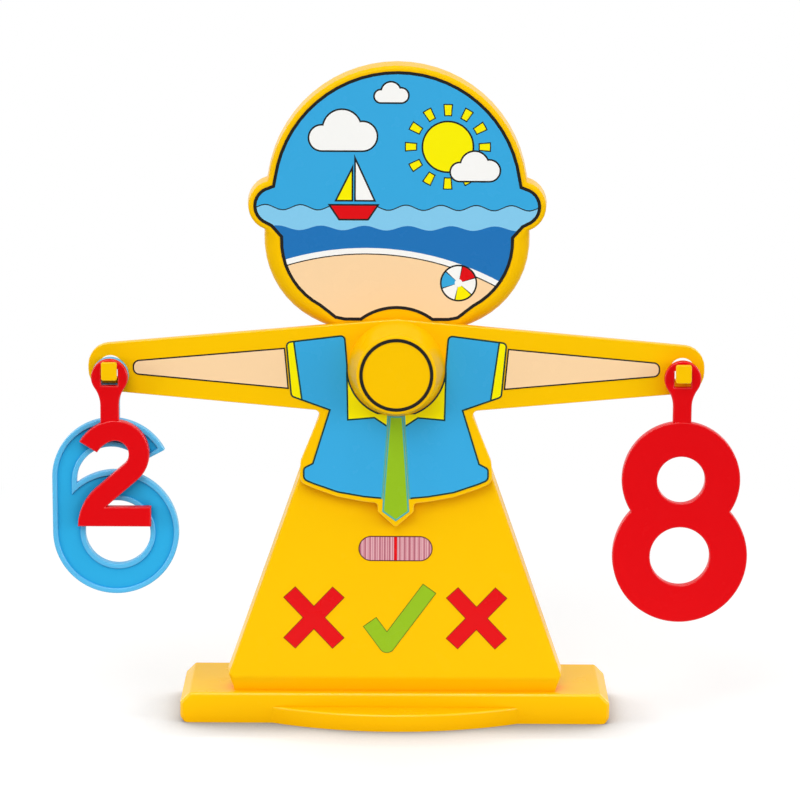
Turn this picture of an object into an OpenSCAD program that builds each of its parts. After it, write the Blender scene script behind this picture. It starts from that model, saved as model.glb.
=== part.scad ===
// Balance scale toy: a moulded plastic stand with a tilting beam and hanging number weights.
// Millimetres. +Z is up, the front faces -Y, and the origin lies on the table below the pivot.

/* [Overall] */
// Height of the beam's pivot above the table
pivot_h = 222; // [214:1:240]

/* [Base] */
// Width of the base
base_w = 263; // [236:1:300]
// Depth of the base without its front lip
base_d = 72; // [60:1:84]
// Height of the base
base_h = 19; // [17:0.5:24]
// Bevel along the base's upper ends, across and down
base_bevel = 6; // [3:0.5:8]
// Radius of that bevel's edges
base_bevel_r = 2; // [1:0.5:4]
// Wall of the base shell
base_wall = 2.5; // [2:0.1:3]
// Width of the bowed front lip
lip_w = 150; // [100:1:180]
// How far the lip reaches forward at its middle
lip_reach = 19; // [12:0.5:24]
// Height of the lip
lip_h = 10.5; // [7:0.5:13]
// Radius of the base's lower corners, seen from the front
base_low_r = 5; // [3:0.5:7]
// Thickness of the ribs under the base
base_rib_t = 2; // [1.5:0.1:3]
// Height of the ribs' lower edge above the table
base_rib_rise = 3; // [2:0.5:5]
// Sideways distance from a spigot to the ribs on both sides of it
base_rib_step = 35; // [20:1:42]

/* [Stand] */
// Width of the column where it meets the base
stand_foot_w = 213; // [190:1:220]
// Width of the column at the height of the pivot
stand_pivot_w = 71; // [60:1:76]
// Depth of the column and head, back cover included
stand_depth = 20; // [19:0.5:26]
// How far the column stands behind the base's front
stand_setback = 2; // [1:0.5:6]
// Wall of the column's front shell
stand_wall = 2.5; // [2:0.1:3]
// Thickness of the back cover
cover_t = 2.5; // [2:0.1:3]
// Extra width at the back, on each side, that lets the shell leave its mould
side_draft = 1; // [0.5:0.1:3]
// Radius of the column's front edges
side_edge_r = 1.6; // [1:0.1:2.5]
// Height of the bevel round the column's foot
foot_bevel_h = 11; // [7:0.5:13]
// How far that bevel draws the foot in, at the front and sides
foot_bevel_in = 4; // [2:0.5:5]
// Height of the locating lip inside the back cover
cover_lip_h = 2; // [1:0.1:4]

/* [Head] */
// Radius of the head's top
head_top_r = 78.5; // [72:0.5:84]
// Height of the head's top circle above the pivot
head_top_rise = 103.5; // [98:0.5:110]
// Radius of the head's cheeks
head_cheek_r = 55; // [52:0.5:58]
// Sideways place of the cheek circles
head_cheek_x = 25; // [22:0.5:27]
// Height of the cheek circles above the pivot
head_cheek_rise = 76; // [72:0.5:78]
// Radius of the cheeks' rounded edge
cheek_edge_r = 8; // [4:0.5:8.5]
// Angle on the cheek circle from which the edge has that radius, in degrees
cheek_full = -65; // [-75:1:-40]
// Radius of the edge over the head's top
head_edge_r = 2; // [1:0.1:4]
// Radius of the round lobe on each side of the head
ear_r = 16; // [12:0.5:18]
// How far the side lobes' middles lie inside the head's side
ear_in = 5; // [2:0.1:7]
// How far up the head's straight side the lobes' middles lie
ear_up = 18.4; // [14:0.1:22]

/* [Beam] */
// Distance from the pivot to each hook
arm_reach = 171.5; // [160:0.5:180]
// Radius of the arms' round ends
arm_end_r = 13.4; // [12.5:0.1:16]
// Straight stretch at each arm's tip
arm_end_flat = 1; // [0.6:0.1:4]
// Radius of the holes in the arm ends
arm_hole_r = 7.3; // [6.8:0.1:8]
// Thickness of the beam
beam_t = 5; // [4:0.1:6]
// Front skin of the beam
beam_skin = 2.4; // [1.8:0.1:3]
// Width of the rim and ribs at the beam's back
beam_rib_t = 2; // [1.5:0.1:2.5]
// Gap between the column and the beam
beam_gap = 2; // [1.6:0.1:3]
// Height of the beam's top edge above the pivot, at the middle
beam_crest = 29.8; // [28:0.1:33]
// Sideways place of the corner between arm and body
armpit_x = 45; // [42:0.5:48]
// Depth of that corner below the pivot
armpit_drop = 26; // [24:0.5:28]
// Radius of that corner
armpit_r = 3; // [2:0.5:6]
// Half width of the body plate's lower edge
hem_x = 58.5; // [55:0.5:62]
// Depth of the body plate's lower corners below the pivot
hem_drop = 70; // [67:0.5:73]
// Height of the band along the body plate's lower edge, at its ends
hem_h = 13; // [12:0.5:18]
// How far the body plate stands in above that band
hem_in = 1; // [0.5:0.1:3]
// Radius of the body plate's lower corners
hem_low_r = 6; // [4:0.5:7]
// Radius of the corners above them
hem_top_r = 5; // [3:0.5:8]
// Sideways place of the bend in the body plate's lower edge
hem_bend_x = 36; // [30:0.5:42]
// Depth of that bend below the pivot
hem_bend_drop = 80; // [78:0.5:82]
// Radius of that bend
hem_bend_r = 100; // [60:1:110]
// Half width of the pointer
pointer_x = 11; // [10:0.5:14]
// Depth of the pointer's shoulder below the pivot
pointer_drop = 88; // [86:0.5:92]
// Length of the pointer's straight sides
pointer_side = 5; // [4:0.5:7]
// Radius of the pointer's corners
pointer_r = 2; // [1:0.1:2.4]
// Height of the pointer's tip below its shoulder
pointer_tip_h = 10; // [7:0.5:14]
// Sideways place of the first rib behind each arm
arm_rib_x = 60; // [50:1:66]
// Distance from each rib behind an arm to the next
arm_rib_step = 34; // [28:1:40]
// Depth of the cross rib behind the body plate, below the pivot
hem_rib_drop = 58; // [55:0.5:64]
// How far the beam tilts each way, in degrees
tilt_limit = 17; // [10:1:18]

/* [Hub] */
// Radius of the hub boss at the beam
boss_base_r = 29; // [28:0.5:32]
// Radius of the hub boss at its front
boss_front_r = 24; // [22:0.5:26]
// Height of the hub boss
boss_h = 20; // [18:0.5:24]
// Wall of the hub boss
boss_wall = 2.4; // [2:0.1:3]
// Thickness of the hub cap
cap_t = 2.5; // [2:0.1:4]
// Radius of the cap's front edge
cap_edge_r = 1.5; // [0.5:0.1:1.8]
// Depth of the cap's plug
cap_plug_h = 5; // [3:0.5:8]
// Wall of the cap's plug
cap_plug_wall = 1.6; // [1.2:0.1:2.2]
// Radius of the axle
axle_r = 3; // [2.5:0.1:3.5]
// Radius of the axle's head
axle_head_r = 6; // [5:0.5:8]
// Thickness of the axle's head
axle_head_t = 1.5; // [1:0.1:2]
// Radius of the axle's support in the column
axle_boss_r = 9; // [8:0.5:12]
// Outer radius of the bush
bush_r = 5; // [4.5:0.1:5.5]
// Outer radius of the bush's flange and of the washers
washer_r = 7; // [6.5:0.1:8]
// Thickness of the bush's flange
bush_flange_t = 0.7; // [0.5:0.1:0.9]
// Thickness of the washers
washer_t = 1; // [0.8:0.1:1.2]
// Outer radius of the hub's tube
hub_tube_r = 8.5; // [7.5:0.5:10]
// Room between the hub's tube and the cap, for the washer and the screw's head
hub_room = 6; // [5:0.5:8]
// Radius of the stop peg behind the beam
stop_r = 3; // [2:0.1:3.5]
// Distance from the pivot to the stop peg
stop_drop = 45; // [42:0.5:48]

/* [Hooks] */
// Radius of the round bar that the numbers hang on
hook_r = 3; // [2.5:0.1:3.2]
// How far the hooks sit below the pivot
hook_drop = 2.7; // [2:0.1:4]
// Width of the turned-up tab
tab_w = 9.4; // [8:0.1:9.5]
// Height of the turned-up tab
tab_h = 11; // [9:0.1:12]
// Thickness of the tab
tab_t = 2.4; // [1.6:0.1:3]
// Radius of the tab's corners
tab_r = 1.2; // [0.5:0.1:2]

/* [Numbers] */
// Thickness of the numbers
number_t = 5.5; // [5:0.1:6]
// Thickness of the hanging rings and stems
ring_t = 4; // [3:0.1:4.5]
// Radius of the hanging rings
ring_r = 11; // [9.5:0.1:12]
// Width and height of the square hole in each ring
ring_hole = 10; // [9.6:0.1:11]
// Width of the stems
stem_w = 11.2; // [9:0.1:12]
// Length from the ring's centre to the number's top
stem_l = 26; // [22:0.5:30]
// Radius of the blend between ring and stem
stem_blend_r = 18; // [12:0.5:20]
// Rim that is left round the hollows in the numbers
number_rim = 3.1; // [2.4:0.1:3.6]

/* [Two] */
// Height of the two
two_h = 65; // [60:0.5:70]
// Stroke of the two
two_stroke = 12.4; // [11:0.1:13]
// Radius of the two's upper bend, at the middle of its stroke
two_top_r = 14.4; // [13:0.1:16]
// Sideways place of the upper bend
two_top_x = 3; // [0:0.1:4]
// Radius of the opener bend at the stroke's start, at the middle of the stroke
two_start_r = 23.4; // [18:0.1:28]
// Angle on that bend where the stroke starts, in degrees
two_start = 148; // [140:1:156]
// Angle where the upper bend takes over, in degrees
two_ease = 115; // [105:1:125]
// Lean of the straight stretch between the bends, from the line between their middles, in degrees
two_lean = 31.6; // [26:0.1:36]
// Sideways place of the lower bend
two_low_x = 10.4; // [8:0.1:13]
// Length of the two's foot
two_foot_l = 44; // [38:0.5:48]
// Height of the two's foot
two_foot_h = 12; // [10:0.1:14]
// Depth of the hollow behind the two
two_hollow = 3.36; // [1:0.01:3.6]

/* [Six] */
// Outer radius of the six's bowl
six_bowl_r = 38; // [35:0.1:40]
// Radius of the hole in the bowl
six_hole_r = 19.6; // [17:0.1:22]
// Sideways place of the bowl
six_bowl_x = 2.7; // [1.5:0.1:4]
// Sideways place of that hole, from the bowl's middle
six_hole_x = 1.2; // [0.5:0.1:2]
// Outer radius of the bow above the bowl
six_bow_r = 36; // [34:0.1:38]
// Sideways place of the bow
six_bow_x = 0.6; // [0.2:0.1:2]
// Height of the bow's middle above the bowl's
six_bow_rise = 33.8; // [32:0.1:36]
// Inner radius of the bow
six_inner_r = 21.2; // [20:0.1:23]
// Depth of the inner circle below the bow's middle
six_inner_drop = 2.4; // [1:0.1:3]
// Angle on the bow where the stroke starts, in degrees
six_start = 28; // [20:1:40]
// Depth of the hollow in the six's face
six_hollow = 1.2; // [0.6:0.01:2.5]

/* [Eight] */
// Outer radius of the eight's upper loop
eight_top_r = 35.6; // [33:0.1:38]
// Radius of the hole in the upper loop
eight_top_hole_r = 14.4; // [12:0.1:16]
// Outer radius of the lower loop
eight_low_r = 40.7; // [38:0.1:43]
// Radius of the hole in the lower loop
eight_low_hole_r = 18; // [16:0.1:20]
// Distance between the middles of the loops
eight_step = 47; // [44:0.5:50]
// Depth of the hollow behind the eight
eight_hollow = 0.92; // [0.4:0.01:2.5]

/* [Prints] */
// Thickness of the printed labels
label_t = 0.2; // [0.1:0.05:0.3]
// Plain rim between the beam's edge and a print
print_rim = 2.3; // [1.5:0.1:3]
// Plain rim between the head's rounded edge and its print
head_print_rim = 1; // [0.4:0.1:2]
// Least plain rim between the cheeks' outline and the head's print
cheek_print_rim = 6.5; // [5:0.5:8]
// Plain rim between the hub and the head's print
hub_print_rim = 6; // [4:0.5:8]
// How far the body's print stands in at its waist
waist_in = 7; // [5:0.1:9]
// Fall of the body's print from its waist to the lobes beside it
lobe_fall = 3; // [1.5:0.1:5]
// How far the body's print stands in at the corners between arms and body
armpit_in = 4.5; // [3:0.1:6]
// Half width of the body's print at the lower ends of its sleeves
sleeve_low_x = 63.5; // [60:0.5:65]
// Depth of those lower ends below the pivot
sleeve_low_drop = 17.5; // [15:0.5:20]
// Half width of the body's print at the upper ends of its sleeves
sleeve_top_x = 66.5; // [64:0.5:70]
// Height of those upper ends above the pivot
sleeve_top_rise = 16; // [13:0.5:18]
// Radius of the sleeves' corners
sleeve_r = 3; // [1:0.5:4]
// Half width of the plain place above the hub
neck_x = 30.7; // [30:0.1:34]
// Height of the body's print beside that place, above the pivot
neck_rise = 20.5; // [18:0.5:22]
// Angle below the pivot where that place ends at the hub, in degrees
neck_turn = 8; // [4:1:14]
// Half width of the pointer's print at the hub
pointer_print_x = 4.2; // [3:0.1:6]
// Plain rim between the pointer's sides and its print
pointer_print_in = 2.8; // [2:0.1:4]
// Plain length below the pointer's print
pointer_print_rim = 4; // [4:0.5:8]
// Gap between the body's print and each arm's print
arm_print_start = 0.6; // [0.4:0.1:2]
// Plain length between an arm's print and the hole
arm_print_gap = 6; // [3:0.5:12]
// Plain rim between the arm's edges and its print
arm_print_rim = 11.5; // [8:0.5:12]
// Radius of the corners at the outer end of an arm's print
arm_print_r = 4; // [2:0.5:5]
// Plain rim between the cap's rounded edge and its ring
cap_ring_gap = 0.5; // [0.2:0.1:2]
// Width of the ring on the cap
cap_ring_w = 2; // [1:0.1:2.5]
// Width of the striped mark
strip_w = 45; // [36:1:52]
// Height of the striped mark
strip_h = 15.6; // [12:0.2:18]
// Gap between the signs and the striped mark above them
strip_gap = 14.1; // [10:0.1:16]
// Height of the signs' middle above the base
sign_rise = 47; // [40:0.5:52]
// Gap between the tick and each cross
cross_gap = 6; // [3:0.5:10]
// Reach of a cross's bars from its middle
cross_reach = 22; // [18:0.5:24]
// Slope of a cross's bars, in degrees
cross_slope = 47; // [42:1:52]
// Width of the crosses' bars and the tick's stroke
sign_stroke = 10; // [7:0.5:11]
// Sideways place of the tick's corner
tick_x = -5; // [-10:0.5:-4]
// Depth of the tick's corner below the middle of the signs
tick_drop = 17; // [14:0.5:18]
// Length of the tick's short leg
tick_short_l = 18; // [14:0.5:20]
// Length of the tick's long leg
tick_long_l = 44; // [36:0.5:46]
// Slope of both legs, in degrees
tick_slope = 54; // [48:1:58]

/* [Fasteners] */
// Radius of the screws' shanks
screw_r = 1.5; // [1.2:0.1:1.7]
// Radius of the screws' heads
screw_head_r = 3; // [2.6:0.1:3.2]
// Height of the screws' heads
screw_head_h = 1.6; // [1.2:0.1:1.8]
// Length of the screws' shanks
screw_l = 9; // [7:0.5:10]
// Radius of the screw bosses in the column
screw_boss_r = 4; // [3.5:0.1:5]
// Distance from the column's and head's outline to the cover screws
screw_inset = 17; // [14:0.5:22]
// Height of the lowest cover screws above the base
foot_screw_rise = 18; // [14:1:24]
// Height of the cover screws half way up the column, above the base
column_screw_rise = 105; // [95:1:115]
// Angle of the cover screws on the cheek circles, in degrees
cheek_screw_turn = -18; // [-30:1:0]
// Angle of the cover screws on the head's top circle, in degrees
crown_screw_turn = 43; // [35:1:60]
// Radius of the column's spigots in the base
spigot_r = 4.5; // [4:0.1:4.6]
// Sideways place of the spigots
spigot_x = 70; // [55:1:80]
// Length of the spigots below the column
spigot_l = 11; // [9:0.5:12]
// Floor and wall of the sockets that take the spigots
socket_wall = 2.5; // [2:0.1:3]

/* [Fits] */
// Gap all round a running fit
run_gap = 0.05; // [0.03:0.01:0.08]
// Gap between faces that turn past each other
turn_gap = 0.3; // [0.3:0.05:0.5]
// Gap round pieces that are put together by hand
fit_gap = 0.2; // [0.1:0.05:0.3]
// Gap between a number and what hangs beside it
hang_gap = 0.5; // [0.4:0.05:0.6]
// Room past the tip of a screw in its hole
tip_room = 1; // [0.5:0.1:2]

/* [Hidden] */
$fn = 64;
// A cut reaches this far past a face, and a joined shape this far into its neighbour
past = 0.5;

YELLOW = "#fdc604";
RED = "#e20c13";
LIGHT_BLUE = "#39abe2";
PEACH = "#fed8a8";
PINK = "#f0a8ac";
GREEN = "#95c11f";
BLACK = "#1d1d1b";
STEEL = "#b8bcc0";

// Depths along Y, from the back to the front
stand_front = -base_d / 2 + stand_setback;
stand_back = stand_front + stand_depth;
shell_back = stand_back - cover_t;
shell_depth = stand_depth - cover_t;
beam_back = stand_front - beam_gap;
beam_front = beam_back - beam_t;
boss_front = beam_front - boss_h;
bush_back = stand_front - washer_t - turn_gap;
hub_tube_l = boss_h - hub_room;
tube_front = beam_front - hub_tube_l;
bush_front = tube_front - bush_flange_t;
axle_front = bush_front - turn_gap;
six_back = beam_front - label_t - hang_gap;
two_back = six_back - number_t - hang_gap;
tab_back = two_back - (number_t + ring_t) / 2 - hang_gap;
hook_l = beam_front - tab_back;
eight_back = (beam_front + tab_back + number_t) / 2;

// Heights along Z
hook_z = pivot_h - hook_drop;
ring_top = hook_r + turn_gap;
ring_z = hook_z + ring_top - ring_hole / 2;

// Spigots and sockets
spigot_y = (shell_back + stand_front + foot_bevel_in) / 2;
spigot_low = base_h - spigot_l;
socket_r = spigot_r + fit_gap;
screw_in = screw_l - tip_room;

// Outlines in the XZ plane
function unit(v) = v / norm(v);
function angle_of(v) = atan2(v.y, v.x);
function polar(c, r, a) = c + r * [cos(a), sin(a)];
function arc(c, r, a0, a1, n) = [for (i = [0:n]) polar(c, r, a0 + (a1 - a0) * i / n)];
function wrap(a) = a > 180 ? a - 360 : a < -180 ? a + 360 : a;
function points(p) = [for (q = p) [q.x, q.y]];

// The fillet of radius r at p, between the edges to a and b
function fillet(a, p, b, r) =
    let (
        u = unit(a - p),
        v = unit(b - p),
        half = acos(u * v) / 2,
        c = p + unit(u + v) * r / sin(half),
        a0 = angle_of(p + u * r / tan(half) - c),
        turn = wrap(angle_of(p + v * r / tan(half) - c) - a0)
    )
    arc(c, r, a0, a0 + turn, max(2, ceil(abs(turn) / 15)));

// A closed outline from corners of x, z and corner radius
function rounded(corners) = [
    for (i = [0:len(corners) - 1])
        let (
            n = len(corners),
            a = corners[(i + n - 1) % n],
            p = corners[i],
            b = corners[(i + 1) % n]
        )
        each p.z > 0 ? fillet([a.x, a.y], [p.x, p.y], [b.x, b.y], p.z) : [[p.x, p.y]]
];

// A right half, listed from its lowest to its highest point, with its mirror image
function mirrored(half) = concat(
    half,
    [for (i = [len(half) - 1:-1:0]) if (half[i].x > 0.001) [-half[i].x, half[i].y, half[i].z]]
);

// The way that each point of an outline moves for an inset of 1
function miters(p) = [
    for (i = [0:len(p) - 1])
        let (
            n = len(p),
            d = unit(p[i] - p[(i + n - 1) % n]),
            e = unit(p[(i + 1) % n] - p[i]),
            m = [d.y, -d.x],
            k = [e.y, -e.x]
        )
        -(m + k) / (1 + m * k)
];
function inset(p, d) = let (m = miters(p)) [for (i = [0:len(p) - 1]) p[i] + d * m[i]];

// The corners of an outline moved in by d, with the radii that keep the rim even
function inset_corners(c, d) =
    let (p = points(c), m = miters(p), n = len(c))
    [
        for (i = [0:n - 1])
            let (
                q = p[i] + d * m[i],
                turn = cross(p[i] - p[(i + n - 1) % n], p[(i + 1) % n] - p[i])
            )
            [q.x, q.y, max(c[i].z - sign(turn) * d, 0)]
    ];

// The direction d turned over about the unit direction m
function turned_over(d, m) = 2 * (m * d) * m - d;

// Both sides of a path, as one band of width w with ends square to its bends
function band(path, w) =
    let (
        n = len(path),
        inner = [for (i = [1:n - 2]) unit(path[i + 1] - path[i - 1])],
        first = turned_over(inner[0], unit(path[1] - path[0])),
        last = turned_over(inner[n - 3], unit(path[n - 1] - path[n - 2])),
        dirs = concat([first], inner, [last]),
        left = [for (i = [0:n - 1]) path[i] + w / 2 * [-dirs[i].y, dirs[i].x]],
        right = [for (i = [n - 1:-1:0]) path[i] - w / 2 * [-dirs[i].y, dirs[i].x]]
    )
    concat(left, right);

// Where a line from p along the unit direction d first meets a circle
function meets(p, d, c, r) =
    let (f = p - c, b = f * d)
    p + d * (-b - sqrt(b * b - f * f + r * r));

// The column's sides, as a point and a unit direction upwards
side_foot = [stand_foot_w / 2, base_h];
side_up = unit([stand_pivot_w / 2, pivot_h] - side_foot);
function column_half(z) = side_foot.x + side_up.x / side_up.y * (z - side_foot.y);
knee = [column_half(base_h + foot_bevel_h), base_h + foot_bevel_h];

// The head's circles and the straight line that touches both on the right
head_top_c = [0, pivot_h + head_top_rise];
cheek_c = [head_cheek_x, pivot_h + head_cheek_rise];
cheek_to_top = cheek_c - head_top_c;
touch = angle_of(cheek_to_top) + acos((head_top_r - head_cheek_r) / norm(cheek_to_top));
touch_low = polar(cheek_c, head_cheek_r, touch);
touch_top = polar(head_top_c, head_top_r, touch);
touch_up = unit(touch_top - touch_low);
ear_c = touch_low + ear_up * touch_up + ear_in * [-touch_up.y, touch_up.x];
neck = meets(side_foot, side_up, cheek_c, head_cheek_r);
ear_low = meets(touch_low - ear_r * touch_up, touch_up, ear_c, ear_r);
ear_top = meets(touch_top + ear_r * touch_up, -touch_up, ear_c, ear_r);
cheek_start = angle_of(neck - cheek_c);
cheek_end = angle_of(ear_low - cheek_c);
crown_start = max(touch, angle_of(ear_top - head_top_c) + 2);

// Points of an outline with an edge radius that runs from r0 to r1
function edged(p, r0, r1) = [
    for (i = [0:len(p) - 1])
        [p[i].x, p[i].y, r0 + (r1 - r0) * i / (len(p) - 1)]
];

// The cheek's points keep clear of its ends by a few degrees, and its edge grows to its full radius
cheek_gap = 4;
cheek_steps = 12;
cheek_from = cheek_start + cheek_gap;
cheek_turn = cheek_end - cheek_gap - cheek_from;
cheek_angles = [for (i = [0:cheek_steps]) cheek_from + cheek_turn * i / cheek_steps];
function cheek_edge(a) =
    side_edge_r + (cheek_edge_r - side_edge_r) * min(1, (a - cheek_from) / (cheek_full - cheek_from));
cheek_points = [
    for (a = cheek_angles)
        let (p = polar(cheek_c, head_cheek_r, a))
        [p.x, p.y, cheek_edge(a)]
];
ear_arc = arc(ear_c, ear_r, angle_of(ear_low - ear_c), angle_of(ear_top - ear_c), 12);
crown_arc = arc(head_top_c, head_top_r, crown_start, 90, 14);

// Right half of the column and head: x, z and the radius of the front edge there
stand_half = concat(
    [[knee.x - foot_bevel_in, base_h, 0]],
    [[knee.x, knee.y, side_edge_r]],
    [[neck.x, neck.y, side_edge_r]],
    cheek_points,
    edged(ear_arc, head_edge_r, head_edge_r),
    edged(crown_arc, head_edge_r, head_edge_r)
);
stand_outline = points(mirrored(stand_half));
stand_edges = [for (p = mirrored(stand_half)) p.z];
stand_miters = miters(stand_outline);
stand_n = len(stand_outline);

// Right half of the beam's corners: x and z from the pivot, and the corner's radius
tip_drop = pointer_drop + pointer_tip_h;
arm_tip = arm_reach + arm_end_r;
arm_tip_r = arm_end_r - arm_end_flat / 2;
beam_half = [
    [0, -tip_drop, pointer_r],
    [pointer_x, -pointer_drop, pointer_r],
    [pointer_x, -pointer_drop + pointer_side, pointer_r],
    [hem_bend_x, -hem_bend_drop, hem_bend_r],
    [hem_x, -hem_drop, hem_low_r],
    [hem_x - hem_in, -hem_drop + hem_h, hem_top_r],
    [armpit_x, -armpit_drop, armpit_r],
    [arm_tip, -arm_end_r, arm_tip_r],
    [arm_tip, arm_end_r, arm_tip_r],
    [0, beam_crest, 0]
];
beam_corners = mirrored(beam_half);

// Places of the cover's screws, as x and z
function column_screw(rise) = [column_half(base_h + rise) - screw_inset, base_h + rise];
screw_half = [
    column_screw(foot_screw_rise),
    column_screw(column_screw_rise),
    polar(cheek_c, head_cheek_r - screw_inset, cheek_screw_turn),
    polar(head_top_c, head_top_r - screw_inset, crown_screw_turn)
];
screw_places = [for (s = [-1, 1], p = screw_half) [s * p.x, p.y]];

// Places of the prints on the column, from the tick's legs upwards and sideways
cap_ring_r = boss_front_r - cap_edge_r - cap_ring_gap;
sign_z = base_h + sign_rise;
tick_top = tick_long_l * sin(tick_slope) + sign_stroke / 2 * cos(tick_slope) - tick_drop;
tick_right = tick_x + tick_long_l * cos(tick_slope) + sign_stroke / 2 * sin(tick_slope);
cross_half = cross_reach * cos(cross_slope) + sign_stroke / 2 * sin(cross_slope);
cross_x = tick_right + cross_gap + cross_half;
strip_z = sign_z + tick_top + strip_gap + strip_h / 2;

// A flat shape in the XZ plane, from its back at y and t thick towards the front
module plate(y, t) {
    translate([0, y, 0]) rotate([90, 0, 0]) linear_extrude(t) children();
}

// A round bar along Y, from its back at y towards the front
module bar(y, l, r, at = [0, pivot_h]) {
    translate([at.x, y, at.y]) rotate([90, 0, 0]) cylinder(h = l, r = r);
}

// A turned shape about Y, its profile drawn as radius and distance in front of y
module turned(y, at = [0, pivot_h]) {
    translate([at.x, y, at.y]) rotate([90, 0, 0]) rotate_extrude() children();
}

module at_pivot() {
    translate([0, pivot_h]) children();
}

// A shape drawn on the right, moved to side s: 1 is the right and -1 the left, mirrored
module on_side(s) {
    if (s > 0) children();
    else mirror([1, 0]) children();
}

// Base

base_corners = [
    [-base_w / 2, 0, base_low_r],
    [base_w / 2, 0, base_low_r],
    [base_w / 2, base_h - base_bevel, base_bevel_r],
    [base_w / 2 - base_bevel, base_h, base_bevel_r],
    [-base_w / 2 + base_bevel, base_h, base_bevel_r],
    [-base_w / 2, base_h - base_bevel, base_bevel_r]
];

module base_block() {
    plate(base_d / 2, base_d) polygon(rounded(base_corners));
}

// The space inside the base, open below between its round lower corners
module base_hollow() {
    mouth_x = base_w / 2 - base_low_r - base_wall;
    plate(base_d / 2 - base_wall, base_d - 2 * base_wall) {
        polygon(rounded(inset_corners(base_corners, base_wall)));
        translate([-mouth_x, -past]) square([2 * mouth_x, base_wall + 2 * past]);
    }
}

module lip_plan(d) {
    bow_r = (pow(lip_w / 2, 2) + lip_reach * lip_reach) / (2 * lip_reach);
    front = -base_d / 2;
    intersection() {
        translate([0, front - lip_reach + bow_r]) circle(r = bow_r - d, $fn = 180);
        translate([-lip_w / 2 - past, front - lip_reach])
            square([lip_w + 2 * past, lip_reach + 2 * base_wall]);
    }
}

module base_ribs() {
    rib_h = base_h - base_wall - base_rib_rise;
    for (s = [-1, 1], step = [-base_rib_step, base_rib_step])
        translate([s * (spigot_x + step) - base_rib_t / 2, -base_d / 2 + base_wall - past, base_rib_rise])
            cube([base_rib_t, base_d - 2 * base_wall + 2 * past, rib_h + past]);
}

module base_sockets() {
    for (s = [-1, 1])
        translate([s * spigot_x, spigot_y, spigot_low - socket_wall])
            cylinder(h = spigot_l + socket_wall - past, r = socket_r + socket_wall);
}

module base_shell() {
    color(YELLOW)
    difference() {
        union() {
            difference() {
                union() {
                    base_block();
                    linear_extrude(lip_h) lip_plan(0);
                }
                base_hollow();
                translate([0, 0, -past]) linear_extrude(lip_h - base_wall + past) lip_plan(base_wall);
            }
            base_ribs();
            base_sockets();
        }
        for (s = [-1, 1])
            translate([s * spigot_x, spigot_y, 0]) {
                translate([0, 0, spigot_low]) cylinder(h = base_h, r = socket_r);
                cylinder(h = base_h, r = screw_r + fit_gap);
            }
    }
}

// Column and head

// Points of the shell's skin, by their place i on the outline and their depth in front of the back.
// The two corners at the foot, first and last, rise by the bevel where the others follow their edge.
function at_foot(i) = i == 0 || i == stand_n - 1;
function skin_point(q, depth) = [q.x, shell_back - depth, q.y];
function draft_at(depth) = side_draft * depth / shell_depth;
function side_point(i, d, depth) = skin_point(stand_outline[i] + d * stand_miters[i], depth);
function foot_point(i, share, depth) =
    let (p = stand_outline[i], draft = draft_at(depth) * stand_miters[i].x)
    skin_point(p + [draft, share * (foot_bevel_h - past)], depth);
function outer_ring(turn) = [
    for (i = [0:stand_n - 1])
        let (r = stand_edges[i], share = turn / 90, depth = shell_depth - r + r * sin(turn))
        at_foot(i)
            ? foot_point(i, share, shell_depth - foot_bevel_in * (1 - share))
            : side_point(i, draft_at(depth) + r * (1 - cos(turn)), depth)
];
function back_ring(d) = [for (i = [0:stand_n - 1]) side_point(i, d, 0)];
inner_edge_r = 0.8;
function inner_ring(bevel) = [
    for (i = [0:stand_n - 1])
        let (
            r = at_foot(i) ? foot_bevel_in : max(stand_edges[i] - stand_wall, inner_edge_r),
            depth = shell_depth - stand_wall - (1 - bevel) * r
        )
        side_point(i, stand_wall + draft_at(depth) + bevel * r, depth)
];

// Triangles that close a ring of n points whose halves mirror each other, up to one top point
function cap_faces(n) = [
    for (i = [0:(n - 1) / 2 - 1])
        let (j = n - 1 - i)
        each concat(i + 2 < j ? [[i, i + 1, j - 1]] : [], [[i, j - 1, j]])
];

// A closed solid through rings of equal length, from the first ring to the last
module loft(rings) {
    n = len(rings[0]);
    last = len(rings) - 1;
    sides = [
        for (k = [0:last - 1], i = [0:n - 1])
            let (a = k * n + i, b = k * n + (i + 1) % n)
            each [[a, a + n, b + n], [a, b + n, b]]
    ];
    front = [for (f = cap_faces(n)) [f[0] + last * n, f[2] + last * n, f[1] + last * n]];
    polyhedron(points = [for (r = rings) each r], faces = concat(cap_faces(n), sides, front));
}

module stand_skin() {
    loft(concat(
        [inner_ring(1), inner_ring(0), back_ring(stand_wall), back_ring(0)],
        [for (turn = [0:22.5:90]) outer_ring(turn)]
    ));
}

// The curved slot that the beam's stop peg runs in
module stop_slot() {
    half = tilt_limit + asin((stop_r + turn_gap) / stop_drop);
    y = stand_front + stand_wall + past;
    translate([0, y, pivot_h]) rotate([90, 0, 0]) rotate([0, 0, -90 - half])
        rotate_extrude(angle = 2 * half)
            translate([stop_drop - stop_r - turn_gap, 0])
                square([2 * (stop_r + turn_gap), stand_wall + 2 * past]);
}

module stand_front_shell() {
    inner_front = stand_front + stand_wall - past;
    boss_l = shell_back - inner_front;
    color(YELLOW)
    difference() {
        union() {
            stand_skin();
            bar(shell_back - axle_head_t, boss_l - axle_head_t, axle_boss_r);
            for (p = screw_places) bar(shell_back, boss_l, screw_boss_r, p);
            for (s = [-1, 1])
                translate([s * spigot_x, spigot_y, spigot_low])
                    cylinder(h = spigot_l + stand_wall, r = spigot_r);
        }
        bar(shell_back + past, stand_depth, axle_r);
        for (p = screw_places) bar(shell_back + past, screw_l + past, screw_r, p);
        for (s = [-1, 1])
            translate([s * spigot_x, spigot_y, spigot_low - past]) cylinder(h = screw_l + past, r = screw_r);
        stop_slot();
    }
}

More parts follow.
